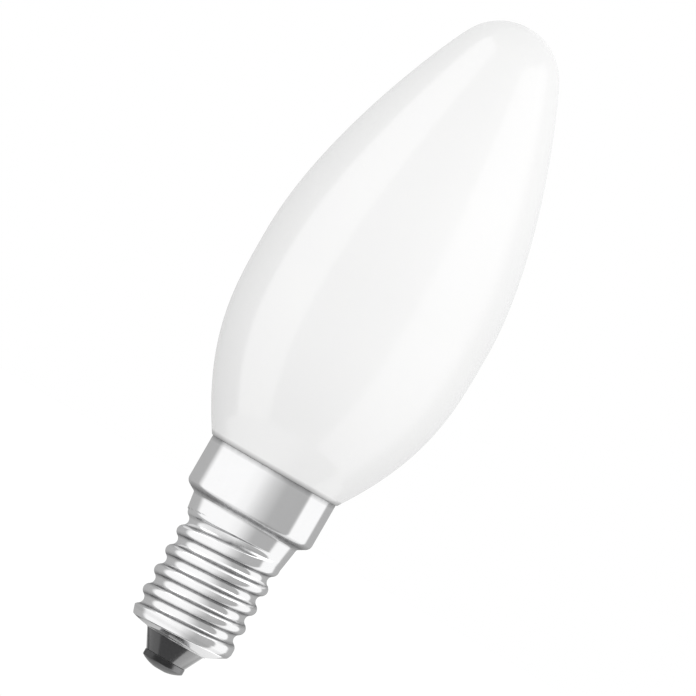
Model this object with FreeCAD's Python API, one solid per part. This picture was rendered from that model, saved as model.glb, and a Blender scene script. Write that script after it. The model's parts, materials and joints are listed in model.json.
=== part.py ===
import FreeCAD, Part
import math
import os

# Candle bulb with a frosted glass envelope and a small screw cap.
# Millimetres. The origin is the end of the centre contact, and +Z runs along the axis to the tip.

Vector = FreeCAD.Vector
ORIGIN = Vector(0, 0, 0)
AXIS = Vector(0, 0, 1)

# Stack along the axis, from the contact up
contact_height = 1.5           # what shows of the centre contact
nose_height = 2.5              # what shows of the insulator
taper_height = 2.0             # from the cap's mouth up to the full thread diameter
groove_rise = 1.24             # from the mouth to the middle of the groove where it starts
neck_overlap = 1.0             # the neck starts to widen this far below the groove's end
plain_neck = 2.25              # from the groove's end to the step
step_height = 0.85             # from the top of the neck to the skirt
skirt_height = 6.45
glass_height = 64.1            # from the cap's rim to the tip

# Edison thread, rolled as one round-bottomed groove
crest_diameter = 13.89
thread_depth = 0.8
thread_pitch = 2.822
thread_turns = 5               # with the run-out at each end
run_out = 0.5                  # turns over which the groove starts or ends
crest_chords = 2               # flats on each side of the crest
root_chords = 3                # flats across the round root
flank_overrun = 0.03           # the flank is carried this far past the crest
points_per_turn = 16

# Screw cap, drawn from sheet
sheet = 0.3
mouth_diameter = 8.2           # the hole that the insulator fills
first_crest_drop = 0.65        # the wall at the mouth's height stays this far inside the thread
high_closing_angle = 29.4      # degrees that the end closes at where the first crest lies highest
low_closing_angle = 14.0       # and where it lies lowest, half a turn before
mouth_land = 0.1               # the flat edge between the mouth and the closing surface
closing_reach = 0.3            # the closing surface is made this far past the wall and the mouth
neck_flare = 0.505             # how far the top of the neck stands out past the thread
step_width = 1.45              # from the neck out to the skirt
skirt_corner_round = 0.6

# Glass envelope
rim_overhang = 0.15            # how far the glass stands out past the cap where it leaves it
flare_angle = 33.6             # degrees from the axis at the rim
belly_diameter = 32.0
belly_rise = 25.7              # from the rim to the widest place
tip_radius = 7.5
tip_half_angle = 60.0          # degrees of the round tip on each side of the axis
flare_pull = 0.51              # fullness of the outline above the rim
lower_belly_pull = 0.29        # fullness of the outline below the belly
upper_belly_pull = 0.41        # fullness of the outline above the belly
tip_pull = 0.087               # fullness of the outline below the tip

# Insulator
flange_thickness = 1.4         # inside the cap
lead_hole_diameter = 1.7

# Centre contact
contact_diameter = 5.66
contact_flat_diameter = 1.6
contact_dome_radius = 5.5
contact_edge_width = 0.28      # round the dome, where it turns up
contact_edge_rise = 0.18
contact_lip = 0.06             # how far the contact stands out past the insulator
stem_length = 1.8

# Clearances
glass_fit = 0.15               # cement between the glass neck and the skirt
neck_end_gap = 1.0             # from the end of the glass neck to the step inside
flange_gap = 0.5               # between the insulator's flange and the bore
insulator_fit = 0.04           # between the insulator and the sheet
stem_fit = 0.05                # between the contact's stem and the insulator

# Heights and radii that more than one piece uses
nose_top = contact_height + nose_height
groove_start = nose_top + groove_rise
groove_end = groove_start + thread_pitch * thread_turns
neck_foot = groove_end - neck_overlap
neck_top = groove_end + plain_neck
skirt_foot = neck_top + step_height
joint_height = skirt_foot + skirt_height
crest_radius = crest_diameter / 2
root_radius = crest_radius - thread_depth
bore_radius = root_radius - sheet
mouth_radius = mouth_diameter / 2
neck_radius = crest_radius + neck_flare
skirt_radius = neck_radius + step_width
contact_radius = contact_diameter / 2
lead_hole_radius = lead_hole_diameter / 2
closing_slope = math.tan(math.radians(high_closing_angle))
low_closing_slope = math.tan(math.radians(low_closing_angle))


def outline(corners):
    """Edges along corners of (radius, height, rounding), from the first to the last."""
    points = [Vector(r, 0, z) for r, z, _ in corners]
    edges = []
    start = points[0]
    for before, corner, after, rounding in zip(
        points, points[1:], points[2:], [c[2] for c in corners[1:]]
    ):
        back = (before - corner).normalize()
        on = (after - corner).normalize()
        if rounding == 0:
            edges.append(Part.makeLine(start, corner))
            start = corner
            continue
        half_angle = back.getAngle(on) / 2
        reach = rounding / math.tan(half_angle)
        to_centre = (back + on).normalize() * (rounding / math.sin(half_angle))
        middle = corner + to_centre - Vector(to_centre).normalize() * rounding
        first = corner + back * reach
        last = corner + on * reach
        edges.append(Part.makeLine(start, first))
        edges.append(Part.Arc(first, middle, last).toShape())
        start = last
    edges.append(Part.makeLine(start, points[-1]))
    return edges


def turned(edges):
    """The solid that a closed chain of edges sweeps round the axis."""
    face = Part.Face(Part.Wire(edges))
    return face.revolve(ORIGIN, AXIS, 360)


def closed(corners):
    """An outline of corners that ends where it starts."""
    return outline(corners + corners[:1])


def inside_path(path, distance):
    """A path moved towards the axis, square to each of its stretches, with its corners sharp."""
    stretches = []
    for (r0, z0, _), (r1, z1, _) in zip(path, path[1:]):
        length = math.hypot(r1 - r0, z1 - z0)
        along = ((r1 - r0) / length, (z1 - z0) / length)
        foot = (r0 - along[1] * distance, z0 + along[0] * distance)
        stretches.append((foot, along))
    moved = []
    for (foot, along), (next_foot, next_along) in zip(stretches, stretches[1:]):
        cross = along[0] * next_along[1] - along[1] * next_along[0]
        gap = (next_foot[0] - foot[0], next_foot[1] - foot[1])
        reach = (gap[0] * next_along[1] - gap[1] * next_along[0]) / cross
        moved.append((foot[0] + along[0] * reach, foot[1] + along[1] * reach, 0))
    return moved


def curve(*poles):
    """A smooth curve whose ends point at its inner poles."""
    bezier = Part.BezierCurve()
    bezier.setPoles([Vector(r, 0, z) for r, z in poles])
    return bezier.toShape()


def upper_path(thread_radius):
    """The sheet's path from the top of a plain thread cylinder to the cap's rim."""
    return [
        (thread_radius, neck_foot, 0),
        (neck_radius, neck_top, 0),
        (skirt_radius, skirt_foot, skirt_corner_round),
        (skirt_radius, joint_height, 0),
    ]


def bore_path():
    """The path behind the thread's root, closed to the mouth by one cone."""
    closing_top = nose_top + closing_slope * (root_radius - mouth_radius)
    cone = [(mouth_radius, nose_top, 0), (root_radius, closing_top, 0)]
    return inside_path(cone + upper_path(root_radius), sheet)


def closing_cut():
    """The space under the cap's end, which closes steeply where the first crest lies high."""
    edge = mouth_radius + mouth_land
    large = crest_radius + closing_reach
    foot = nose_top - closing_slope * closing_reach
    high_side = Vector(large, 0, nose_top + closing_slope * (large - edge))
    low_side = Vector(-large, 0, nose_top + low_closing_slope * (large - edge))
    across = high_side - low_side
    upright = Vector(-across.z, 0, across.x)
    upper = Part.makeCircle(across.Length / 2, (high_side + low_side) / 2, upright)
    lower = Part.makeCircle(edge - closing_reach, Vector(0, 0, foot), AXIS)
    return Part.makeRuledSurface(lower, upper).extrude(AXIS * -taper_height)


def groove_profile():
    """The groove from crest to crest, as (radius, height) about the middle of its root."""
    depth = crest_radius - root_radius
    arc = (thread_pitch**2 / 4 + depth**2) / (4 * depth)
    sweep = math.asin(thread_pitch / (4 * arc))
    crest_side = []
    for step in range(crest_chords):
        angle = sweep * (2 * step + 1) / (2 * crest_chords + 1)
        crest_side.append(
            (crest_radius - arc + arc * math.cos(angle), thread_pitch / 2 - arc * math.sin(angle))
        )
    root = []
    for step in range(root_chords + 1):
        angle = sweep - 2 * sweep * step / root_chords
        root.append((root_radius + arc - arc * math.cos(angle), arc * math.sin(angle)))
    (r0, z0), (r1, z1) = (crest_side + root)[:2]
    share = (crest_radius + flank_overrun - r1) / (r0 - r1)
    crest_side[0] = (r1 + (r0 - r1) * share, z1 + (z0 - z1) * share)
    return crest_side + root + [(r, -z) for r, z in reversed(crest_side)]


def groove_lift(turn):
    """How far the groove has left the wall at a turn, as it starts and as it runs out."""
    clear = neck_radius - root_radius
    share = min(turn, thread_turns - turn) / run_out
    return clear * (1 - min(share, 1)) ** 2


def groove_line(radius, height, turn):
    """One turn of the helix that a point of the groove's profile follows."""
    points = []
    for step in range(points_per_turn + 1):
        at = turn + step / points_per_turn
        angle = 2 * math.pi * at
        reach = radius + groove_lift(at)
        rise = groove_start + height + thread_pitch * at
        points.append(Vector(reach * math.cos(angle), reach * math.sin(angle), rise))
    line = Part.BSplineCurve()
    line.interpolate(points)
    return line.toShape()


def thread_groove():
    """The space that the rolled thread takes out of the cap, a turn at a time."""
    profile = groove_profile()
    outside = neck_radius + sheet
    profile += [(outside, profile[-1][1]), (outside, profile[0][1])]
    faces = []
    for turn in range(thread_turns):
        lines = [groove_line(r, z, turn) for r, z in profile]
        for one, other in zip(lines, lines[1:] + lines[:1]):
            faces.append(Part.makeRuledSurface(one, other))
        for end, end_turn in ((0, 0), (1, thread_turns - 1)):
            if turn == end_turn:
                ring = [line.valueAt(line.ParameterRange[end]) for line in lines]
                faces.append(Part.Face(Part.makePolygon(ring + ring[:1])))
    skin = Part.makeShell(faces)
    skin.sewShape()
    groove = Part.Solid(skin)
    if groove.Volume < 0:
        groove.reverse()
    return groove


def screw_shell():
    """The threaded cap: closed end, thread, neck, rounded step and skirt in one drawn sheet."""
    body = turned(
        closed(
            [
                (0, nose_top, 0),
                (crest_radius - first_crest_drop, nose_top, 0),
                (crest_radius, nose_top + taper_height, 0),
            ]
            + upper_path(crest_radius)
            + [(0, joint_height, 0)]
        )
    )
    below = nose_top - sheet
    above = joint_height + sheet
    cone_foot = nose_top + sheet * math.hypot(1, closing_slope)
    hollow = turned(
        closed(
            [(0, below, 0), (mouth_radius, below, 0), (mouth_radius, cone_foot, 0)]
            + bore_path()
            + [(skirt_radius - sheet, above, 0), (0, above, 0)]
        )
    )
    return body.cut(closing_cut()).cut(thread_groove()).cut(hollow)


def glass_bulb():
    """The sealed, frosted glass with the neck that is cemented into the skirt."""
    belly = (belly_diameter / 2, joint_height + belly_rise)
    rim = (skirt_radius + rim_overhang, joint_height)
    tip_height = joint_height + glass_height
    lean = math.radians(flare_angle)
    pull = flare_pull * belly_rise
    lower = curve(
        rim,
        (rim[0] + pull * math.sin(lean), rim[1] + pull * math.cos(lean)),
        (belly[0], belly[1] - lower_belly_pull * belly_rise),
        belly,
    )
    tip_centre = tip_height - tip_radius
    half = math.radians(tip_half_angle)
    shoulder = (tip_radius * math.sin(half), tip_centre + tip_radius * math.cos(half))
    upper_span = shoulder[1] - belly[1]
    pull = tip_pull * upper_span
    upper = curve(
        belly,
        (belly[0], belly[1] + upper_belly_pull * upper_span),
        (shoulder[0] + pull * math.cos(half), shoulder[1] - pull * math.sin(half)),
        shoulder,
    )
    between = half / 2
    tip = Part.Arc(
        Vector(shoulder[0], 0, shoulder[1]),
        Vector(tip_radius * math.sin(between), 0, tip_centre + tip_radius * math.cos(between)),
        Vector(0, 0, tip_height),
    ).toShape()
    glass_neck_radius = skirt_radius - sheet - glass_fit
    neck_end = skirt_foot + sheet + neck_end_gap
    neck = outline(
        [
            (0, tip_height, 0),
            (0, neck_end, 0),
            (glass_neck_radius, neck_end, 0),
            (glass_neck_radius, joint_height, 0),
            (*rim, 0),
        ]
    )
    return turned(neck + [lower, upper, tip])


def insulator():
    """The black moulded insulator: a tapered nose below the cap and a flange seated inside it."""
    throat = mouth_radius - insulator_fit
    seat = sheet + insulator_fit
    seat_height = seat * math.hypot(1, closing_slope)
    flange_radius = bore_radius - flange_gap
    cone_foot = nose_top + seat_height - closing_slope * insulator_fit
    cone_top = cone_foot + closing_slope * (flange_radius - throat)
    flange_top = cone_top + flange_thickness
    return turned(
        closed(
            [
                (lead_hole_radius, contact_height, 0),
                (contact_radius - contact_lip, contact_height, 0),
                (throat, nose_top, 0),
                (throat, cone_foot, 0),
                (flange_radius, cone_top, 0),
                (flange_radius, flange_top, 0),
                (lead_hole_radius, flange_top, 0),
            ]
        )
    )


def centre_contact():
    """The domed centre contact with its small flat and the stem that holds it in the insulator."""
    flat = contact_flat_diameter / 2
    stem_radius = lead_hole_radius - stem_fit
    stem_top = contact_height + stem_length

    def dome(reach):
        """Height of the dome at a radius, from the flat at its foot."""
        pole = math.sqrt(contact_dome_radius**2 - flat**2)
        return pole - math.sqrt(contact_dome_radius**2 - reach**2)

    dome_end = contact_radius - contact_edge_width
    middle = (flat + dome_end) / 2
    face = Part.Arc(
        Vector(flat, 0, 0), Vector(middle, 0, dome(middle)), Vector(dome_end, 0, dome(dome_end))
    ).toShape()
    rest = outline(
        [
            (dome_end, dome(dome_end), 0),
            (contact_radius, dome(dome_end) + contact_edge_rise, 0),
            (contact_radius, contact_height, 0),
            (stem_radius, contact_height, 0),
            (stem_radius, stem_top, 0),
            (0, stem_top, 0),
            (0, 0, 0),
            (flat, 0, 0),
        ]
    )
    return turned([face] + rest)


PIECES = {
    "glass_bulb": glass_bulb,
    "screw_shell": screw_shell,
    "insulator": insulator,
    "centre_contact": centre_contact,
}


def main():
    os.makedirs("parts", exist_ok=True)
    for name, make in PIECES.items():
        shape = make()
        solid = shape.Solids[0]
        assert len(shape.Solids) == 1 and solid.isValid(), name
        solid.exportStep(f"parts/{name}.step")
        box = solid.optimalBoundingBox(True, False)
        print(
            f"{name}: volume {solid.Volume:.1f}, x {box.XMin:.2f} to {box.XMax:.2f}, "
            f"z {box.ZMin:.2f} to {box.ZMax:.2f}"
        )


main()
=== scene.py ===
"""Looks of a candle bulb: frosted glass, a bright screw cap, a black insulator and a domed contact.

The bulb stands upright on the Z axis with the end of its centre contact at the origin. Outlines are
written in millimetres as radius and height, and turned about the axis. The studio's lengths are metres.
The camera is rolled, so that the upright bulb leans in the picture.
"""

from __future__ import annotations

import json
import logging
import math
from collections.abc import Callable, Sequence
from dataclasses import dataclass, field
from enum import Enum
from typing import Any, NamedTuple

import bmesh
import bpy
from mathutils import Matrix, Vector
from mathutils.geometry import interpolate_bezier

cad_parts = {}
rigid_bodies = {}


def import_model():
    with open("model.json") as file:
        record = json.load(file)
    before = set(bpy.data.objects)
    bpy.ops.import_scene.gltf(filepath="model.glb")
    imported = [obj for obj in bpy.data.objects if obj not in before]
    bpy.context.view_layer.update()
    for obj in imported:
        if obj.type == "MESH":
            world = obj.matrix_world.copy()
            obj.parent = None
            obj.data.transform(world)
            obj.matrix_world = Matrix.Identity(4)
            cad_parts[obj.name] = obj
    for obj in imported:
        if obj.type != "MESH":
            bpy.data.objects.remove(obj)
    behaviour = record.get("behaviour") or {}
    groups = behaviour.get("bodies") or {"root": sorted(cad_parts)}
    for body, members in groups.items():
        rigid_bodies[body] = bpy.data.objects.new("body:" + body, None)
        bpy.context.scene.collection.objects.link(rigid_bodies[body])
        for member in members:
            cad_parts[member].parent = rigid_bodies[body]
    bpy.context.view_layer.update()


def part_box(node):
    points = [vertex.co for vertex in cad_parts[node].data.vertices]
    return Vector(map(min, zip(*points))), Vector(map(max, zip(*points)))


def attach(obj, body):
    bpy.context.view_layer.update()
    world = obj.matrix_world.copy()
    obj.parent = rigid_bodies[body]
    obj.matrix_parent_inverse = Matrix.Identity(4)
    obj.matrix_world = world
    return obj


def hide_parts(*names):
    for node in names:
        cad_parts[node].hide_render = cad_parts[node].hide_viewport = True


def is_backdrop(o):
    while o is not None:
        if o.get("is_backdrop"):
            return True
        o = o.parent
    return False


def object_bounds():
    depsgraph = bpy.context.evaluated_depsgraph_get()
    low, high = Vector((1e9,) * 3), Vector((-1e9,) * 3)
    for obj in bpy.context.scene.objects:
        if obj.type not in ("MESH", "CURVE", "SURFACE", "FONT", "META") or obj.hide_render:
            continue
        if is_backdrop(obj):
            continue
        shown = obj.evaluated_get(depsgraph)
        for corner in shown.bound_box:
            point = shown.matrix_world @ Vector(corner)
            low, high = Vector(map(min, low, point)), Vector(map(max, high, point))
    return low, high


LOG = logging.getLogger("candle_bulb")
MILLIMETRE = 0.001
PER_MILLIMETRE = 1000.0
WELD_DISTANCE = 0.001 * MILLIMETRE
TURN_DEGREES = 360.0
NOISE_MIDDLE = 0.5
RAMP_MIDDLE = 0.5
WHITE = (1.0, 1.0, 1.0, 1.0)
BODY = "root"


class Slot(Enum):
    """Material slots of the record that the pieces take their finish from."""

    GLASS = "frosted_glass"
    CAP = "cap_metal"
    INSULATOR = "black_insulator"
    CONTACT = "contact_metal"


class Corner(NamedTuple):
    """A corner of an outline, in millimetres.

    Attributes:
        radius: Distance from the bulb's axis.
        height: Height above the end of the contact.
        cut: Length that the rounding takes from each side of the corner.
    """

    radius: float
    height: float
    cut: float = 0.0


class Signal:
    """A shader socket that takes part in Python expressions."""

    def __init__(self, graph: ShaderGraph, socket: bpy.types.NodeSocket | None) -> None:
        """Wraps one output socket of a graph, or none where the node has no output."""
        self.graph = graph
        self.socket = socket

    def math(self, operation: str, first: Any, second: Any = 0.0) -> Signal:
        """Adds a Math node.

        Args:
            operation: The node's operation.
            first: Signal or number for its first input.
            second: Signal or number for its second input.

        Returns:
            The node's output.
        """
        return self.graph.node("ShaderNodeMath", {"operation": operation}, {0: first, 1: second})

    def __add__(self, other: Any) -> Signal:
        """Sum of the two."""
        return self.math("ADD", self, other)

    def __radd__(self, other: Any) -> Signal:
        """Sum with a number on the left."""
        return self.math("ADD", other, self)

    def __sub__(self, other: Any) -> Signal:
        """Difference of the two."""
        return self.math("SUBTRACT", self, other)

    def __rsub__(self, other: Any) -> Signal:
        """Difference from a number on the left."""
        return self.math("SUBTRACT", other, self)

    def __mul__(self, other: Any) -> Signal:
        """Product of the two."""
        return self.math("MULTIPLY", self, other)

    def __rmul__(self, other: Any) -> Signal:
        """Product with a number on the left."""
        return self.math("MULTIPLY", other, self)

    def __truediv__(self, other: Any) -> Signal:
        """Quotient of the two."""
        return self.math("DIVIDE", self, other)

    def within(self) -> Signal:
        """The same signal kept between 0 and 1."""
        return self.graph.node("ShaderNodeClamp", {}, {"Value": self})


class ShaderGraph:
    """Builds the nodes of one material or world.

    Attributes:
        MIX_FIRST: Number of a Mix node's input for the first colour.
        MIX_SECOND: Number of its input for the second colour.
        MIX_RESULT: Number of its output for the mixed colour.
    """

    MIX_FIRST = 6
    MIX_SECOND = 7
    MIX_RESULT = 2

    def __init__(self, tree: bpy.types.NodeTree) -> None:
        """Empties the tree and starts it anew."""
        self.tree = tree
        tree.nodes.clear()

    def node(
        self,
        kind: str,
        settings: dict[str, Any] | None = None,
        inputs: dict[str | int, Any] | None = None,
        output: str | int = 0,
    ) -> Signal:
        """Adds any node.

        Args:
            kind: The node's type.
            settings: Properties of the node, set first. "stops" holds a ramp's (place, grey) pairs.
            inputs: Signals or values of its sockets, by name or number.
            output: The socket to return.

        Returns:
            The chosen output.
        """
        made = self.tree.nodes.new(kind)
        for name, value in (settings or {}).items():
            if name == "stops":
                self._set_stops(made.color_ramp, value)
            else:
                setattr(made, name, value)
        for name, value in (inputs or {}).items():
            if isinstance(value, Signal):
                self.tree.links.new(value.socket, made.inputs[name])
            else:
                made.inputs[name].default_value = value
        return Signal(self, made.outputs[output] if made.outputs else None)

    @staticmethod
    def _set_stops(ramp: bpy.types.ColorRamp, stops: Sequence[tuple[float, float]]) -> None:
        """Gives a ramp its stops.

        Args:
            ramp: The ramp of a node that was just made.
            stops: Pairs of a place and a grey, in order.
        """
        while len(ramp.elements) < len(stops):
            ramp.elements.new(RAMP_MIDDLE)
        for element, (place, grey) in zip(ramp.elements, stops):
            element.position = place
            element.color = (grey, grey, grey, 1.0)

    def millimetres(self) -> Signal:
        """Object coordinates in millimetres."""
        inputs = {0: self.node("ShaderNodeTexCoord", output="Object"), "Scale": PER_MILLIMETRE}
        return self.node("ShaderNodeVectorMath", {"operation": "SCALE"}, inputs)

    def coordinate(self, place: Signal, axis: str) -> Signal:
        """One coordinate of a place, along X, Y or Z."""
        return self.node("ShaderNodeSeparateXYZ", {}, {0: place}, axis)

    def stretched(self, place: Signal, scale: tuple[float, float, float]) -> Signal:
        """Coordinates scaled differently along each axis."""
        return self.node("ShaderNodeVectorMath", {"operation": "MULTIPLY"}, {0: place, 1: scale})

    def noise(self, place: Signal, scale: float, detail: float = 2.0) -> Signal:
        """Noise of about 0 to 1.

        Args:
            place: Coordinates.
            scale: Cells to a millimetre.
            detail: Number of finer layers.

        Returns:
            The noise.
        """
        inputs = {"Vector": place, "Scale": scale, "Detail": detail}
        return self.node("ShaderNodeTexNoise", {}, inputs)

    def mixed(self, share: Signal, first: Any, second: Any) -> Signal:
        """A colour between two colours.

        Args:
            share: Share of the second colour.
            first: First colour, a signal or three numbers.
            second: Second colour, a signal or three numbers.

        Returns:
            The mixed colour.
        """
        colors = [one if isinstance(one, Signal) else (*one, 1.0) for one in (first, second)]
        inputs = {0: share, self.MIX_FIRST: colors[0], self.MIX_SECOND: colors[1]}
        return self.node("ShaderNodeMix", {"data_type": "RGBA"}, inputs, self.MIX_RESULT)

    def bump(self, height: Signal, depth: float) -> Signal:
        """A normal from a height signal.

        Args:
            height: Height from 0 to 1.
            depth: Millimetres that a height of 1 stands for.

        Returns:
            The normal.
        """
        return self.node("ShaderNodeBump", {}, {"Height": height, "Distance": depth * MILLIMETRE})


def new_material(name: str) -> tuple[bpy.types.Material, ShaderGraph]:
    """Makes an empty material.

    Args:
        name: The material's name.

    Returns:
        The material and the graph that builds its nodes.
    """
    made = bpy.data.materials.new(name)
    made.use_nodes = True
    return made, ShaderGraph(made.node_tree)


def new_object(name: str, bm: bmesh.types.BMesh) -> bpy.types.Object:
    """Makes an object from a mesh.

    Args:
        name: The object's name.
        bm: Its mesh, which is freed.

    Returns:
        The object, linked to the scene.
    """
    mesh = bpy.data.meshes.new(name)
    bm.to_mesh(mesh)
    bm.free()
    made = bpy.data.objects.new(name, mesh)
    bpy.context.scene.collection.objects.link(made)
    return made


def stage_object(name: str, bm: bmesh.types.BMesh, look: bpy.types.Material) -> bpy.types.Object:
    """Makes a part of the stage from a mesh.

    Args:
        name: The object's name.
        bm: Its mesh, which is freed.
        look: Its material.

    Returns:
        The object, marked as stage.
    """
    made = new_object(name, bm)
    made.data.materials.append(look)
    made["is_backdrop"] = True
    return made


def spin_round(bm: bmesh.types.BMesh, steps: int) -> None:
    """Spins all that a mesh holds once round the Z axis.

    Args:
        bm: The mesh, a wire before and a skin after.
        steps: Number of flats round the skin.
    """
    bmesh.ops.spin(
        bm,
        geom=bm.verts[:] + bm.edges[:],
        cent=(0.0, 0.0, 0.0),
        axis=(0.0, 0.0, 1.0),
        angle=math.tau,
        steps=steps,
        use_merge=True,
        use_duplicate=False,
    )


@dataclass(frozen=True)
class Finish:
    """A finish with its plain sockets. Subclasses add what varies over the surface.

    Attributes:
        slot: Material slot of the record.
        color: Main colour.
        shade: Second colour, which the first one drifts to in patches.
        roughness: Roughness that the variation starts from.
    """

    slot: Slot
    color: tuple[float, float, float]
    shade: tuple[float, float, float]
    roughness: float

    def plain(self) -> dict[str, Any]:
        """Sockets that are the same all over the surface."""
        return {}

    def varied(self, graph: ShaderGraph, place: Signal) -> dict[str, Signal]:
        """Sockets that change over the surface.

        Args:
            graph: The material's nodes.
            place: Coordinates in millimetres.

        Returns:
            Signals by socket name.
        """
        raise NotImplementedError

    def material(self) -> bpy.types.Material:
        """Builds the material.

        Returns:
            The material, named after its slot.
        """
        made, graph = new_material(self.slot.value)
        sockets = {**self.plain(), **self.varied(graph, graph.millimetres())}
        surface = graph.node("ShaderNodeBsdfPrincipled", {}, sockets)
        graph.node("ShaderNodeOutputMaterial", {}, {"Surface": surface})
        return made


@dataclass(frozen=True)
class Band:
    """A band of painted shade, in millimetres of height or of distance from the axis.

    Attributes:
        middle: Where the band is strongest.
        reach: Distance over which it fades on each side.
        strength: Share of the painted shade colour in its middle.
    """

    middle: float
    reach: float
    strength: float

    def over(self, place: Signal) -> Signal:
        """Share of the dull colour at a place."""
        away = place.math("ABSOLUTE", place - self.middle)
        return (1.0 - away / self.reach).within() * self.strength


@dataclass(frozen=True)
class FrostedGlass(Finish):
    """White frosted glass: an even satin, a faint cloud in the white, and a painted shade line at the
    rim.

    Scales are in cells to a millimetre, and depths are in millimetres, here and in the other finishes.
    """

    # Colour of the painted shade line at the rim, where the glass meets the cap.
    painted_shade_color: tuple[float, float, float] = (0.3, 0.3, 0.3)
    rim: Band = Band(middle=28.95, reach=0.6, strength=0.85)
    cloud_scale: float = 0.09
    grain_scale: float = 5.0
    grain_depth: float = 0.002
    grain_roughness: float = 0.06

    def plain(self) -> dict[str, Any]:
        """Satin gloss of the etched surface."""
        return {"IOR": 1.5, "Coat Weight": 1.0, "Coat Roughness": 0.08}

    def varied(self, graph: ShaderGraph, place: Signal) -> dict[str, Signal]:
        """Cloud and painted rim shade in the colour, grain in the roughness and the normal.

        Args:
            graph: The material's nodes.
            place: Coordinates in millimetres.

        Returns:
            Signals by socket name.
        """
        cloud = graph.noise(place, self.cloud_scale)
        grain = graph.noise(place, self.grain_scale)
        # Painted shade: a grey line round the glass just above the cap's rim.
        rim = self.rim.over(graph.coordinate(place, "Z"))
        white = graph.mixed(cloud, self.color, self.shade)
        return {
            "Base Color": graph.mixed(rim, white, self.painted_shade_color),
            "Roughness": self.roughness + self.grain_roughness * (grain - NOISE_MIDDLE),
            "Normal": graph.bump(grain, self.grain_depth),
        }


@dataclass(frozen=True)
class RolledMetal(Finish):
    """Bright plated sheet with faint rings, and bands of painted shade on the flanks of the thread.

    Painted shade darkens the flanks by the distance from the axis, and only within thread_span. Bands
    of painted shade at the joint with the glass and at the step go by the height. A noise makes all
    three uneven. The rings come from a noise that ring_stretch draws out round the bulb.
    """

    # Colour of the painted shade in the bands below.
    painted_shade_color: tuple[float, float, float] = (0.09, 0.09, 0.095)
    ring_scale: float = 9.0
    ring_stretch: tuple[float, float, float] = (0.04, 0.04, 1.0)
    ring_detail: float = 3.0
    ring_depth: float = 0.0006
    ring_roughness: float = 0.05
    smear_scale: float = 0.6
    smear_share: float = 0.5
    # A noise that makes the painted shade uneven, not real wear.
    shade_patch_scale: float = 1.6
    shade_patch_least: float = 0.7
    shade_patch_gain: float = 0.6
    painted_shade_roughness: float = 0.25
    # Bands of painted shade: on the thread's flanks, at the joint with the glass and at the step.
    flank: Band = Band(middle=6.55, reach=0.34, strength=0.9)
    joint: Band = Band(middle=28.9, reach=0.7, strength=0.55)
    step: Band = Band(middle=22.0, reach=0.7, strength=0.8)
    thread_span: tuple[float, float] = (5.2, 19.1)
    thread_fade: float = 0.7

    def plain(self) -> dict[str, Any]:
        """Bare metal."""
        return {"Metallic": 1.0}

    def varied(self, graph: ShaderGraph, place: Signal) -> dict[str, Signal]:
        """Rings round the axis, soft smears, and painted shade on the flanks, at the step and at the
        rim.

        Args:
            graph: The material's nodes.
            place: Coordinates in millimetres.

        Returns:
            Signals by socket name.
        """
        drawn_out = graph.stretched(place, self.ring_stretch)
        rings = graph.noise(drawn_out, self.ring_scale, self.ring_detail)
        smear = graph.noise(place, self.smear_scale)
        shade_patchiness = graph.noise(place, self.shade_patch_scale)
        flat = graph.stretched(place, (1.0, 1.0, 0.0))
        from_axis = graph.node("ShaderNodeVectorMath", {"operation": "LENGTH"}, {0: flat}, "Value")
        height = graph.coordinate(place, "Z")
        low, high = self.thread_span
        above = ((height - low) / self.thread_fade).within()
        below = ((high - height) / self.thread_fade).within()
        # Painted shade on the flanks, at the joint and at the step, made uneven by a noise.
        flanks = self.flank.over(from_axis) * above * below
        bands = flanks + self.joint.over(height) + self.step.over(height)
        painted_shade_share = (bands * (self.shade_patch_least + self.shade_patch_gain * shade_patchiness)).within()
        bright = graph.mixed(smear * self.smear_share, self.color, self.shade)
        ringed = self.roughness + self.ring_roughness * (rings - NOISE_MIDDLE)
        return {
            # The base colour is darkened by the painted shade of the bands.
            "Base Color": graph.mixed(painted_shade_share, bright, self.painted_shade_color),
            "Roughness": ringed + self.painted_shade_roughness * painted_shade_share,
            "Normal": graph.bump(rings, self.ring_depth),
        }


@dataclass(frozen=True)
class BlackInsulator(Finish):
    """Black moulded insulator with a shiny, slightly uneven skin."""

    wave_scale: float = 0.7
    wave_depth: float = 0.01
    speck_scale: float = 12.0
    speck_roughness: float = 0.08

    def plain(self) -> dict[str, Any]:
        """Gloss of the moulded skin."""
        return {"IOR": 1.8, "Coat Weight": 1.0, "Coat IOR": 1.8, "Coat Roughness": 0.08}

    def varied(self, graph: ShaderGraph, place: Signal) -> dict[str, Signal]:
        """Slow waves in the skin and fine specks in the black.

        Args:
            graph: The material's nodes.
            place: Coordinates in millimetres.

        Returns:
            Signals by socket name.
        """
        waves = graph.noise(place, self.wave_scale)
        specks = graph.noise(place, self.speck_scale)
        return {
            "Base Color": graph.mixed(specks, self.color, self.shade),
            "Roughness": self.roughness + self.speck_roughness * specks,
            "Normal": graph.bump(waves, self.wave_depth),
        }


@dataclass(frozen=True)
class ContactMetal(Finish):
    """Pressed contact, faintly dented by handling, in a dark grey that is painted shade for the dark
    its metal reflects.
    """

    dent_scale: float = 1.4
    dent_depth: float = 0.012
    scuff_scale: float = 8.0
    scuff_detail: float = 4.0
    scuff_roughness: float = 0.18

    def plain(self) -> dict[str, Any]:
        """Bare metal."""
        return {"Metallic": 1.0}

    def varied(self, graph: ShaderGraph, place: Signal) -> dict[str, Signal]:
        """Shallow dents and scuffs.

        Args:
            graph: The material's nodes.
            place: Coordinates in millimetres.

        Returns:
            Signals by socket name.
        """
        dents = graph.noise(place, self.dent_scale)
        scuffs = graph.noise(place, self.scuff_scale, self.scuff_detail)
        return {
            "Base Color": graph.mixed(scuffs, self.color, self.shade),
            "Roughness": self.roughness + self.scuff_roughness * scuffs,
            "Normal": graph.bump(dents, self.dent_depth),
        }


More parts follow.
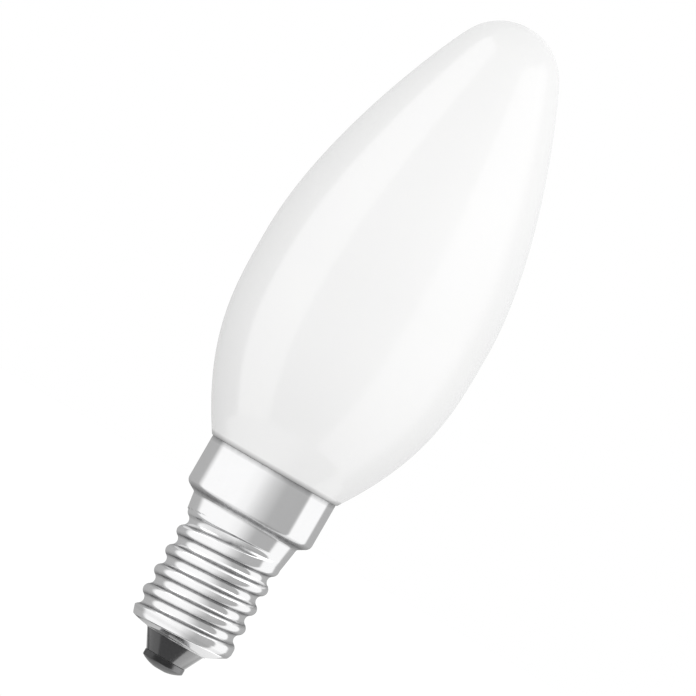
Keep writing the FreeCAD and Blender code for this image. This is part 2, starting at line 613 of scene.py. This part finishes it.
class Lathe:
    """Turns outlines into closed, smooth bodies about the bulb's axis."""

    def __init__(self, columns: int, crease_degrees: float = 30.0) -> None:
        """Sets how fine the turned bodies are and which edges look sharp."""
        self.columns = columns
        self.crease = math.radians(crease_degrees)

    def wire(self, corners: Sequence[Corner], round_segments: int = 5) -> bmesh.types.BMesh:
        """Draws an outline and rounds its corners.

        Args:
            corners: The outline from one end to the other.
            round_segments: Edges across each rounding.

        Returns:
            A mesh of loose edges.
        """
        bm = bmesh.new()
        verts = [bm.verts.new((c.radius * MILLIMETRE, 0.0, c.height * MILLIMETRE)) for c in corners]
        for one, other in zip(verts, verts[1:]):
            bm.edges.new((one, other))
        for corner, vert in zip(corners, verts):
            if corner.cut > 0.0:
                bmesh.ops.bevel(
                    bm,
                    geom=[vert],
                    offset=corner.cut * MILLIMETRE,
                    segments=round_segments,
                    profile=0.5,
                    affect="VERTICES",
                    material=-1,
                )
        return bm

    def divide(self, bm: bmesh.types.BMesh, row: float, wanted: Callable[[Vector], bool]) -> None:
        """Divides edges of a wire into short rows.

        Args:
            bm: The wire.
            row: Longest row, in millimetres.
            wanted: Says from an edge's middle, in millimetres, whether to divide it.
        """
        for edge in list(bm.edges):
            middle = (edge.verts[0].co + edge.verts[1].co) * (PER_MILLIMETRE / 2)
            cuts = int(edge.calc_length() * PER_MILLIMETRE / row)
            if cuts > 0 and wanted(middle):
                bmesh.ops.subdivide_edges(bm, edges=[edge], cuts=cuts)

    def turn(self, bm: bmesh.types.BMesh) -> None:
        """Spins a wire all the way round and closes it at the axis.

        Args:
            bm: The wire, which becomes the body.
        """
        spin_round(bm, self.columns)
        bmesh.ops.remove_doubles(bm, verts=bm.verts[:], dist=WELD_DISTANCE)
        bmesh.ops.recalc_face_normals(bm, faces=bm.faces[:])

    def finish(self, bm: bmesh.types.BMesh, name: str) -> bpy.types.Object:
        """Makes the object, smooth apart from its sharp edges.

        Args:
            bm: The turned mesh, which is freed.
            name: The object's name.

        Returns:
            The object, linked to the scene.
        """
        for face in bm.faces:
            face.smooth = True
        for edge in bm.edges:
            edge.smooth = not (edge.is_manifold and edge.calc_face_angle() > self.crease)
        return new_object(name, bm)


@dataclass
class Piece:
    """A turned piece that stands for one node of the frame.

    Attributes:
        node: The node's name.
        finish: What the piece is dressed in.
        lathe: What turns its outline.
    """

    node: str
    finish: Finish
    lathe: Lathe = field(default_factory=lambda: Lathe(columns=192))

    def low(self) -> float:
        """Height of the node's lower end, in millimetres."""
        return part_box(self.node)[0].z * PER_MILLIMETRE

    def high(self) -> float:
        """Height of the node's upper end, in millimetres."""
        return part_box(self.node)[1].z * PER_MILLIMETRE

    def shape(self) -> bmesh.types.BMesh:
        """The turned mesh."""
        raise NotImplementedError

    def build(self) -> bpy.types.Object:
        """Builds, dresses and mounts the piece.

        Returns:
            The piece, riding on the bulb's body in place of its node.
        """
        made = self.lathe.finish(self.shape(), f"{self.node}_surface")
        made.data.materials.append(self.finish.material())
        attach(made, BODY)
        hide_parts(self.node)
        return made


@dataclass
class GlassEnvelope(Piece):
    """The sealed candle-shaped glass with the neck that is cemented into the cap.

    Lengths are in millimetres. Each pull is the length of a curve's handle, as a share of the height
    that the curve climbs.
    """

    neck_radius: float = 8.45
    rim_radius: float = 9.05
    rim_height: float = 28.9
    rim_cut: float = 0.12
    flare_degrees: float = 33.6
    belly_radius: float = 16.0
    belly_rise: float = 25.7
    tip_radius: float = 7.5
    tip_half_degrees: float = 60.0
    flare_pull: float = 0.51
    lower_belly_pull: float = 0.29
    upper_belly_pull: float = 0.41
    tip_pull: float = 0.087
    lower_rows: int = 48
    upper_rows: int = 80
    tip_rows: int = 28

    def lower_side(self) -> list[Vector]:
        """Curve from the rim to the belly.

        Returns:
            Points of radius and height.
        """
        lean = math.radians(self.flare_degrees)
        pull = self.flare_pull * self.belly_rise
        rim = Vector((self.rim_radius, self.rim_height))
        belly = Vector((self.belly_radius, self.rim_height + self.belly_rise))
        flare = rim + Vector((math.sin(lean), math.cos(lean))) * pull
        under = belly - Vector((0.0, self.lower_belly_pull * self.belly_rise))
        return interpolate_bezier(rim, flare, under, belly, self.lower_rows)

    def upper_side(self) -> list[Vector]:
        """Curve from the belly to the round tip.

        Returns:
            Points of radius and height.
        """
        half = math.radians(self.tip_half_degrees)
        belly = Vector((self.belly_radius, self.rim_height + self.belly_rise))
        centre = Vector((0.0, self.high() - self.tip_radius))
        shoulder = centre + Vector((math.sin(half), math.cos(half))) * self.tip_radius
        span = shoulder.y - belly.y
        over = belly + Vector((0.0, self.upper_belly_pull * span))
        under = shoulder + Vector((math.cos(half), -math.sin(half))) * (self.tip_pull * span)
        return interpolate_bezier(belly, over, under, shoulder, self.upper_rows)

    def tip(self) -> list[Vector]:
        """Arc of the round tip, from its shoulder to the axis.

        Returns:
            Points of radius and height.
        """
        centre = Vector((0.0, self.high() - self.tip_radius))
        half = math.radians(self.tip_half_degrees)
        angles = [half * (1.0 - row / self.tip_rows) for row in range(self.tip_rows + 1)]
        return [centre + Vector((math.sin(a), math.cos(a))) * self.tip_radius for a in angles]

    def shape(self) -> bmesh.types.BMesh:
        """The neck, the seat on the cap's rim, and the candle shape above it.

        Returns:
            The turned mesh.
        """
        neck_end = self.low()
        side = self.lower_side() + self.upper_side()[1:] + self.tip()[1:]
        corners = [
            Corner(0.0, neck_end),
            Corner(self.neck_radius, neck_end, self.rim_cut),
            Corner(self.neck_radius, self.rim_height),
            Corner(self.rim_radius, self.rim_height, self.rim_cut),
        ]
        corners += [Corner(point.x, point.y) for point in side[1:]]
        bm = self.lathe.wire(corners)
        self.lathe.turn(bm)
        return bm


@dataclass
class ThreadGroove:
    """The round-bottomed groove that is rolled into the cap, right-handed, in millimetres.

    Attributes:
        start: Height at which the middle of the root starts.
        clear_radius: Radius at which the groove has left the wall.
        crest_radius: Radius of the thread's crests.
        root_radius: Radius of the thread's root.
        pitch: Rise in one turn.
        turns: Number of turns.
        run_out: Turns over which the groove comes in or runs out.
    """

    start: float
    clear_radius: float
    crest_radius: float = 6.945
    root_radius: float = 6.145
    pitch: float = 2.822
    turns: float = 5.0
    run_out: float = 0.5

    def profile(self, across: float) -> float:
        """Radius of the groove's wall.

        Args:
            across: Distance from the middle of the root, in millimetres.

        Returns:
            The radius, round in the root and round again at the crest.
        """
        depth = self.crest_radius - self.root_radius
        arc = (self.pitch**2 / 4 + depth**2) / (4 * depth)
        distance = min(abs(across), self.pitch / 2)
        if distance < self.pitch / 4:
            return self.root_radius + arc - math.sqrt(arc**2 - distance**2)
        return self.crest_radius - arc + math.sqrt(arc**2 - (self.pitch / 2 - distance) ** 2)

    def lift(self, turn: float) -> float:
        """How far the groove has left the wall at a turn, as it starts and as it runs out."""
        share = min(turn, self.turns - turn) / self.run_out
        return (self.clear_radius - self.root_radius) * (1.0 - min(share, 1.0)) ** 2

    def radius(self, angle: float, height: float) -> float:
        """Radius that the groove leaves at a place on the cap.

        Args:
            angle: Angle about the axis, in radians from 0 to a full turn.
            height: Height in millimetres.

        Returns:
            The radius, or infinity where no groove passes.
        """
        share = angle / math.tau
        nearest = round((height - self.start) / self.pitch - share)
        reach = math.inf
        for whole in (nearest - 1, nearest, nearest + 1):
            turn = whole + share
            if 0.0 <= turn <= self.turns:
                across = height - self.start - self.pitch * turn
                if abs(across) <= self.pitch / 2:
                    reach = min(reach, self.profile(across) + self.lift(turn))
        return reach

    def press(self, vert: bmesh.types.BMVert) -> None:
        """Moves a point of the cap's wall in to the groove, where the groove is deeper.

        Args:
            vert: The point.
        """
        wall = math.hypot(vert.co.x, vert.co.y)
        angle = math.atan2(vert.co.y, vert.co.x) % math.tau
        pressed = self.radius(angle, vert.co.z * PER_MILLIMETRE) * MILLIMETRE
        if pressed < wall:
            vert.co.x *= pressed / wall
            vert.co.y *= pressed / wall


@dataclass
class ClosingEnd:
    """The end of the cap, which closes steeply where the first crest of the thread lies high.

    Attributes:
        mouth: Height of the mouth, in millimetres.
        wall_radius: Radius of the cap's wall.
        edge_radius: Radius of the flat edge round the mouth.
        reach: How far the end's surface is drawn out past the edge and past the wall.
        high_degrees: Slope on the steep side.
        low_degrees: Slope on the other side.
        softness: Height over which the end turns into the wall.
    """

    mouth: float
    wall_radius: float
    edge_radius: float = 4.2
    reach: float = 0.3
    high_degrees: float = 29.4
    low_degrees: float = 14.0
    softness: float = 0.4

    def slope(self) -> float:
        """Rise of the steep side for each millimetre outwards."""
        return math.tan(math.radians(self.high_degrees))

    def height(self, angle: float, radius: float) -> float:
        """Height of the end's surface.

        Args:
            angle: Angle about the axis, in radians from the high side.
            radius: Distance from the axis, in millimetres.

        Returns:
            The height in millimetres.
        """
        inner = self.edge_radius - self.reach
        outer = self.wall_radius + self.reach
        low_slope = math.tan(math.radians(self.low_degrees))
        share = (1.0 + math.cos(angle)) / 2.0
        foot = -self.slope() * self.reach
        top = (low_slope + (self.slope() - low_slope) * share) * (outer - self.edge_radius)
        return self.mouth + foot + (top - foot) * (radius - inner) / (outer - inner)

    def press(self, vert: bmesh.types.BMVert) -> None:
        """Moves a point of the cap's wall up to the end's surface, round where the two meet.

        Args:
            vert: The point.
        """
        radius = math.hypot(vert.co.x, vert.co.y) * PER_MILLIMETRE
        surface = self.height(math.atan2(vert.co.y, vert.co.x), radius)
        wall = vert.co.z * PER_MILLIMETRE
        near = max(self.softness - abs(surface - wall), 0.0) if radius > self.edge_radius else 0.0
        vert.co.z = (max(surface, wall) + near**2 / (4.0 * self.softness)) * MILLIMETRE


@dataclass
class ScrewCap(Piece):
    """The drawn sheet cap: closed end, rolled thread, plain neck, step and skirt, in millimetres."""

    lathe: Lathe = field(default_factory=lambda: Lathe(columns=256, crease_degrees=50.0))
    sheet: float = 0.3
    mouth_radius: float = 4.1
    mouth_cut: float = 0.04
    first_crest_drop: float = 0.65
    taper_height: float = 2.0
    neck_radius: float = 7.45
    groove_rise: float = 1.24
    neck_overlap: float = 1.0
    plain_neck: float = 2.25
    step_height: float = 0.85
    skirt_radius: float = 8.9
    skirt_cut: float = 0.5
    step_cut: float = 0.12
    rim_cut: float = 0.06
    thread_row: float = 0.08

    def shape(self) -> bmesh.types.BMesh:
        """The cap with its end and its groove pressed in, and a plain bore behind them.

        Returns:
            The turned and pressed mesh.
        """
        mouth = self.low()
        rim = self.high()
        groove = ThreadGroove(mouth + self.groove_rise, self.neck_radius)
        crest = groove.crest_radius
        end = ClosingEnd(mouth, crest)
        groove_end = groove.start + groove.pitch * groove.turns
        neck_top = groove_end + self.plain_neck
        skirt_foot = neck_top + self.step_height
        bore = groove.root_radius - self.sheet
        inner_neck = self.neck_radius - self.sheet
        inner_skirt = self.skirt_radius - self.sheet
        inner_foot = mouth + self.sheet * math.hypot(1.0, end.slope())
        inner_top = inner_foot + end.slope() * (bore - self.mouth_radius)
        corners = [
            Corner(self.mouth_radius, inner_foot),
            Corner(self.mouth_radius, mouth, self.mouth_cut),
            Corner(end.edge_radius, mouth),
            Corner(crest - self.first_crest_drop, mouth),
            Corner(crest, mouth + self.taper_height),
            Corner(crest, groove_end - self.neck_overlap),
            Corner(self.neck_radius, neck_top, self.step_cut),
            Corner(self.skirt_radius, skirt_foot, self.skirt_cut),
            Corner(self.skirt_radius, rim, self.rim_cut),
            Corner(inner_skirt, rim, self.rim_cut),
            Corner(inner_skirt, skirt_foot + self.sheet),
            Corner(inner_neck, neck_top + self.sheet),
            Corner(bore, groove_end),
            Corner(bore, inner_top),
            Corner(self.mouth_radius, inner_foot),
        ]
        bm = self.lathe.wire(corners)

        def outside(place: Vector) -> bool:
            """Says whether a place is on the side of the sheet that end and groove are pressed into.

            Args:
                place: The place, in millimetres.

            Returns:
                True on the outer side of the sheet, up to the top of the neck.
            """
            radius = math.hypot(place.x, place.y)
            inner_cone = inner_foot + end.slope() * (radius - self.mouth_radius)
            return place.z < neck_top and (
                radius > bore + self.sheet / 2 or place.z < inner_cone - self.sheet / 2
            )

        self.lathe.divide(bm, self.thread_row, outside)
        self.lathe.turn(bm)
        for vert in bm.verts:
            if outside(vert.co * PER_MILLIMETRE):
                end.press(vert)
                groove.press(vert)
        return bm


@dataclass
class NoseInsulator(Piece):
    """The tapered nose below the cap, with the flange that holds it inside, in millimetres."""

    foot_radius: float = 2.77
    hole_radius: float = 1.7
    throat_radius: float = 4.06
    cone_foot: float = 4.368
    cone_top: float = 5.09
    flange_radius: float = 5.345
    nose_top: float = 4.0
    foot_cut: float = 0.05
    throat_cut: float = 0.1

    def shape(self) -> bmesh.types.BMesh:
        """The nose, the throat in the cap's mouth, and the flange.

        Returns:
            The turned mesh.
        """
        foot = self.low()
        top = self.high()
        corners = [
            Corner(self.hole_radius, foot),
            Corner(self.foot_radius, foot, self.foot_cut),
            Corner(self.throat_radius, self.nose_top, self.throat_cut),
            Corner(self.throat_radius, self.cone_foot),
            Corner(self.flange_radius, self.cone_top),
            Corner(self.flange_radius, top, self.throat_cut),
            Corner(self.hole_radius, top),
            Corner(self.hole_radius, foot),
        ]
        bm = self.lathe.wire(corners)
        self.lathe.turn(bm)
        return bm


@dataclass
class CentreContact(Piece):
    """The domed contact with a small flat and a turned-up edge, in millimetres."""

    radius: float = 2.83
    flat_radius: float = 0.8
    dome_radius: float = 5.5
    edge_width: float = 0.28
    edge_rise: float = 0.18
    edge_cut: float = 0.08
    shank_height: float = 1.5
    stem_radius: float = 1.65
    dome_rows: int = 14

    def dome_height(self, radius: float) -> float:
        """Height of the dome above its flat."""
        pole = math.sqrt(self.dome_radius**2 - self.flat_radius**2)
        return pole - math.sqrt(self.dome_radius**2 - radius**2)

    def shape(self) -> bmesh.types.BMesh:
        """The flat, the dome, the edge and the stem.

        Returns:
            The turned mesh.
        """
        dome_end = self.radius - self.edge_width
        step = (dome_end - self.flat_radius) / self.dome_rows
        reaches = [self.flat_radius + step * row for row in range(self.dome_rows + 1)]
        corners = [Corner(0.0, self.low())]
        corners += [Corner(reach, self.low() + self.dome_height(reach)) for reach in reaches]
        corners += [
            Corner(self.radius, corners[-1].height + self.edge_rise, self.edge_cut),
            Corner(self.radius, self.shank_height, self.edge_cut),
            Corner(self.stem_radius, self.shank_height),
            Corner(self.stem_radius, self.high()),
            Corner(0.0, self.high()),
        ]
        bm = self.lathe.wire(corners)
        self.lathe.turn(bm)
        return bm


@dataclass(frozen=True)
class Softbox:
    """A soft lamp that faces the bulb.

    Attributes:
        name: The lamp's name.
        azimuth: Degrees from the camera's side, positive to the right.
        elevation: Degrees above the level.
        distance: Metres from the middle of the bulb.
        width: Its width in metres.
        height: Its height in metres.
        radiance: Brightness of its face.
    """

    name: str
    azimuth: float
    elevation: float
    distance: float
    width: float
    height: float
    radiance: float

    def build(self, target: Vector) -> None:
        """Hangs the lamp.

        Args:
            target: The point that it faces.
        """
        lamp = bpy.data.lights.new(self.name, "AREA")
        lamp.shape = "RECTANGLE"
        lamp.size = self.width
        lamp.size_y = self.height
        lamp.energy = self.radiance * math.pi * self.width * self.height
        made = bpy.data.objects.new(self.name, lamp)
        around = math.radians(self.azimuth)
        up = math.radians(self.elevation)
        away = Vector(
            (math.sin(around) * math.cos(up), -math.cos(around) * math.cos(up), math.sin(up))
        )
        made.location = target + away * self.distance
        made.rotation_euler = (-away).to_track_quat("-Z", "Y").to_euler()
        made.visible_camera = False
        made.visible_glossy = False
        bpy.context.scene.collection.objects.link(made)


@dataclass(frozen=True)
class ReflectionRing:
    """A ring of light and grey cards round the bulb that only reflections see.

    Attributes:
        name: The ring's name.
        radius: Its radius in metres.
        low: Height of its lower edge.
        high: Height of its upper edge.
        stops: Pairs of an angle and a brightness. Angles are degrees from the camera's side,
            positive to the right, and the brightness runs evenly from one stop to the next.
        lift: Brightness that is added at and above the top of the lift's span.
        lift_span: Heights between which the lift grows.
        steps: Flats round the ring.
    """

    name: str
    radius: float
    low: float
    high: float
    stops: tuple[tuple[float, float], ...]
    lift: float = 0.0
    lift_span: tuple[float, float] = (-0.45, 0.24)
    steps: int = 96

    def build(self) -> None:
        """Bends the ring about the bulb's axis."""
        bm = bmesh.new()
        bm.edges.new([bm.verts.new((0.0, self.radius, end)) for end in (self.low, self.high)])
        spin_round(bm, self.steps)
        made = stage_object(self.name, bm, self.material())
        made.visible_camera = False
        made.visible_diffuse = False
        made.visible_shadow = False
        made.visible_transmission = False

    def material(self) -> bpy.types.Material:
        """A glow that changes with the angle about the axis and grows with the height.

        Returns:
            The material, in which the camera's side is the middle of the ramp.
        """
        made, graph = new_material(self.name)
        place = graph.node("ShaderNodeTexCoord", output="Object")
        across, away, height = (graph.coordinate(place, axis) for axis in "XYZ")
        turned = across.math("ARCTAN2", across, 0.0 - away) / math.tau + RAMP_MIDDLE
        strongest = max(level for _, level in self.stops)
        stops = [
            (degrees / TURN_DEGREES + RAMP_MIDDLE, level / strongest)
            for degrees, level in self.stops
        ]
        grey = graph.node("ShaderNodeValToRGB", {"stops": stops}, {"Fac": turned})
        low, high = self.lift_span
        lifted = ((height - low) / (high - low)).within() * self.lift
        light = graph.node("ShaderNodeEmission", {}, {"Strength": grey * strongest + lifted})
        graph.node("ShaderNodeOutputMaterial", {}, {"Surface": light})
        return made


@dataclass(frozen=True)
class Studio:
    """White surroundings, a pale floor well below the held bulb, soft lamps and rings of cards.

    Attributes:
        floor_drop: Metres from the bulb's lowest point down to the floor.
        floor_size: Metres from the floor's middle to its sides.
        floor_white: The floor's grey.
        floor_grain_scale: Cells of the floor's grain to a millimetre.
        floor_grain_white: Share of that grey in the darker grains.
        floor_glow: Strength of the glow that only the camera sees in the floor.
        floor_glow_share: Share of the glow in what the camera sees.
        fill: Strength of the light from all round, before the drops.
        overhead_drop: What that light loses straight overhead.
        left_drop: What it loses straight to the left.
        right_drop: What it loses straight to the right.
        softboxes: The lamps.
        glass_ring: Wide ring, whose cards are the pale strips in the glass.
        skirt_ring: Tight ring round the skirt of the cap.
        thread_ring: Ring round the thread, the neck and the insulator's cone.
        nose_ring: Tight ring round the insulator and the contact.
    """

    floor_drop: float = 0.05
    floor_size: float = 6.0
    floor_white: float = 0.9
    floor_grain_scale: float = 0.2
    floor_grain_white: float = 0.99
    floor_glow: float = 1.25
    floor_glow_share: float = 0.5
    fill: float = 1.39
    overhead_drop: float = 0.52
    left_drop: float = 0.4
    right_drop: float = 0.28
    softboxes: tuple[Softbox, ...] = (
        Softbox(
            "front_softbox", azimuth=32.0, elevation=25.0, distance=0.7,
            width=0.4, height=0.4, radiance=0.45,
        ),
        Softbox(
            "right_softbox", azimuth=95.0, elevation=8.0, distance=0.6,
            width=0.34, height=0.7, radiance=0.05,
        ),
    )
    glass_ring: ReflectionRing = ReflectionRing(
        "glass_ring",
        radius=0.45,
        low=-0.9,
        high=0.62,
        stops=(
            (-180.0, 0.3), (-101.0, 0.15), (-96.0, 1.35), (-49.0, 1.35),
            (-45.0, 0.45), (36.0, 0.45), (40.0, 1.2), (100.0, 1.1), (115.0, 0.45),
            (180.0, 0.4),
        ),
        lift=0.6,
    )
    skirt_ring: ReflectionRing = ReflectionRing(
        "skirt_ring",
        radius=0.0096,
        low=0.0214,
        high=0.0293,
        stops=(
            (-180.0, 0.55), (-168.0, 1.0), (-132.0, 1.0), (-122.0, 0.42),
            (-63.5, 0.45), (-55.5, 1.0), (-16.5, 1.0), (-5.5, 0.92), (5.5, 0.65),
            (17.5, 0.44), (40.5, 0.43), (43.5, 1.0), (69.0, 1.0), (72.5, 0.45),
            (122.0, 0.42), (130.0, 0.95), (150.0, 1.0), (180.0, 0.55),
        ),
    )
    thread_ring: ReflectionRing = ReflectionRing(
        "thread_ring",
        radius=0.021,
        low=-0.03,
        high=0.022,
        stops=(
            (-180.0, 1.0), (-171.0, 0.95), (-163.0, 0.42), (-98.0, 0.45),
            (-86.0, 1.0), (-24.0, 1.0), (-4.0, 0.92), (8.0, 0.72), (26.0, 0.44),
            (66.0, 0.43), (71.0, 1.0), (106.0, 1.0), (112.0, 0.45), (163.0, 0.42),
            (171.0, 0.95), (180.0, 1.0),
        ),
    )
    nose_ring: ReflectionRing = ReflectionRing(
        "nose_ring",
        radius=0.007,
        low=-0.02,
        high=0.0039,
        stops=(
            (-180.0, 0.7), (-127.0, 0.45), (-122.0, 0.15), (-112.0, 0.15),
            (-107.0, 0.45), (-53.0, 0.45), (-47.0, 0.15), (45.0, 0.15), (50.0, 1.6),
            (94.0, 1.6), (112.0, 0.85), (180.0, 0.7),
        ),
    )

    def build(self) -> None:
        """Sets up everything round the bulb."""
        low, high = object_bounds()
        target = (low + high) / 2
        self.build_world()
        self.build_floor(low.z - self.floor_drop)
        for softbox in self.softboxes:
            softbox.build(target)
        rings = (self.glass_ring, self.skirt_ring, self.thread_ring, self.nose_ring)
        for ring in rings:
            ring.build()
        LOG.info("studio: %d lamps, %d rings", len(self.softboxes), len(rings))

    def build_world(self) -> None:
        """White wherever it is seen, and dimmer overhead and at the sides as light on the bulb."""
        world = bpy.data.worlds.new("studio_white")
        world.use_nodes = True
        bpy.context.scene.world = world
        graph = ShaderGraph(world.node_tree)
        rays = ("Is Camera Ray", "Is Glossy Ray", "Is Transmission Ray")
        camera, glossy, through = (graph.node("ShaderNodeLightPath", output=ray) for ray in rays)
        seen = (camera + glossy + through).within()
        toward = graph.node("ShaderNodeTexCoord", output="Generated")
        overhead = graph.coordinate(toward, "Z").within()
        rightward = graph.coordinate(toward, "X")
        sides = self.right_drop * rightward.within() + self.left_drop * (0.0 - rightward).within()
        light = self.fill - self.overhead_drop * overhead - sides
        inputs = {"Color": WHITE, "Strength": light + (1.0 - light) * seen}
        white = graph.node("ShaderNodeBackground", {}, inputs)
        graph.node("ShaderNodeOutputWorld", {}, {"Surface": white})

    def build_floor(self, height: float) -> None:
        """A pale floor that reads as the white background and keeps the bulb's shadow.

        Args:
            height: Its height in metres.
        """
        look, graph = new_material("studio_floor")
        grain = graph.noise(graph.millimetres(), self.floor_grain_scale)
        lighter = (self.floor_white,) * 3
        darker = (self.floor_white * self.floor_grain_white,) * 3
        pale = graph.mixed(grain, lighter, darker)
        matt = graph.node("ShaderNodeBsdfDiffuse", {}, {"Color": pale})
        light = graph.node("ShaderNodeEmission", {}, {"Strength": self.floor_glow})
        share = graph.node("ShaderNodeLightPath", output="Is Camera Ray") * self.floor_glow_share
        surface = graph.node("ShaderNodeMixShader", {}, {0: share, 1: matt, 2: light})
        graph.node("ShaderNodeOutputMaterial", {}, {"Surface": surface})
        bm = bmesh.new()
        bmesh.ops.create_grid(bm, x_segments=1, y_segments=1, size=self.floor_size)
        bmesh.ops.translate(bm, verts=bm.verts[:], vec=(0.0, 0.0, height))
        stage_object("studio_floor", bm, look).visible_glossy = False


@dataclass(frozen=True)
class SideCamera:
    """A long lens level with the bulb, rolled so that the bulb leans to the right in the picture.

    Attributes:
        lean_degrees: How far the bulb leans in the picture.
        pixels_per_millimetre: Scale of the picture at the bulb.
        picture_pixels: Width of the picture.
        centre_across: Millimetres from the bulb's axis to the point in the middle of the picture.
        centre_height: Height of that point in millimetres.
        distance: Metres from the camera to the bulb.
        sensor: Width of the camera's sensor in millimetres.
    """

    lean_degrees: float = 30.0
    pixels_per_millimetre: float = 7.957
    picture_pixels: float = 696.0
    centre_across: float = 0.333
    centre_height: float = 46.83
    distance: float = 2.0
    sensor: float = 36.0

    def build(self) -> None:
        """Places the camera and makes it the scene's own."""
        data = bpy.data.cameras.new("side_camera")
        data.sensor_width = self.sensor
        width = self.picture_pixels / self.pixels_per_millimetre * MILLIMETRE
        data.lens = self.sensor * self.distance / width
        made = bpy.data.objects.new("side_camera", data)
        lean = math.radians(self.lean_degrees)
        right = Vector((math.cos(lean), 0.0, math.sin(lean)))
        up = Vector((-math.sin(lean), 0.0, math.cos(lean)))
        back = Vector((0.0, -1.0, 0.0))
        turned = Matrix((right, up, back)).transposed().to_4x4()
        place = Vector((self.centre_across, 0.0, self.centre_height)) * MILLIMETRE
        made.matrix_world = Matrix.Translation(place + back * self.distance) @ turned
        bpy.context.scene.collection.objects.link(made)
        bpy.context.scene.camera = made
        LOG.info("camera: lens %.0f mm", data.lens)


def clear_scene() -> None:
    """Removes what a new file holds."""
    for old in list(bpy.data.objects):
        bpy.data.objects.remove(old)


def bulb_pieces() -> list[Piece]:
    """The bulb's pieces, each with its finish.

    Returns:
        The pieces, from the glass down to the contact.
    """
    glass = FrostedGlass(
        Slot.GLASS, color=(0.93, 0.93, 0.925), shade=(0.92, 0.92, 0.92), roughness=0.45
    )
    bright = RolledMetal(
        Slot.CAP, color=(0.96, 0.96, 0.965), shade=(0.9, 0.9, 0.905), roughness=0.13
    )
    black = BlackInsulator(
        Slot.INSULATOR, color=(0.028, 0.028, 0.03), shade=(0.038, 0.038, 0.04), roughness=0.2
    )
    # The contact's dark grey is painted shade: it stands for the dark that the metal reflects.
    pressed = ContactMetal(
        Slot.CONTACT, color=(0.2, 0.2, 0.205), shade=(0.12, 0.12, 0.12), roughness=0.22
    )
    return [
        GlassEnvelope("glass_bulb", glass),
        ScrewCap("screw_shell", bright),
        NoseInsulator("insulator", black),
        CentreContact("centre_contact", pressed),
    ]


def main() -> None:
    """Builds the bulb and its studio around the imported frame."""
    logging.basicConfig(level=logging.INFO, format="%(name)s: %(message)s")
    clear_scene()
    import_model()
    for piece in bulb_pieces():
        made = piece.build()
        LOG.info("%s: %d faces", made.name, len(made.data.polygons))
    bpy.context.view_layer.update()
    Studio().build()
    SideCamera().build()
    bpy.context.scene.view_settings.view_transform = "Standard"


if __name__ == "__main__":
    main()
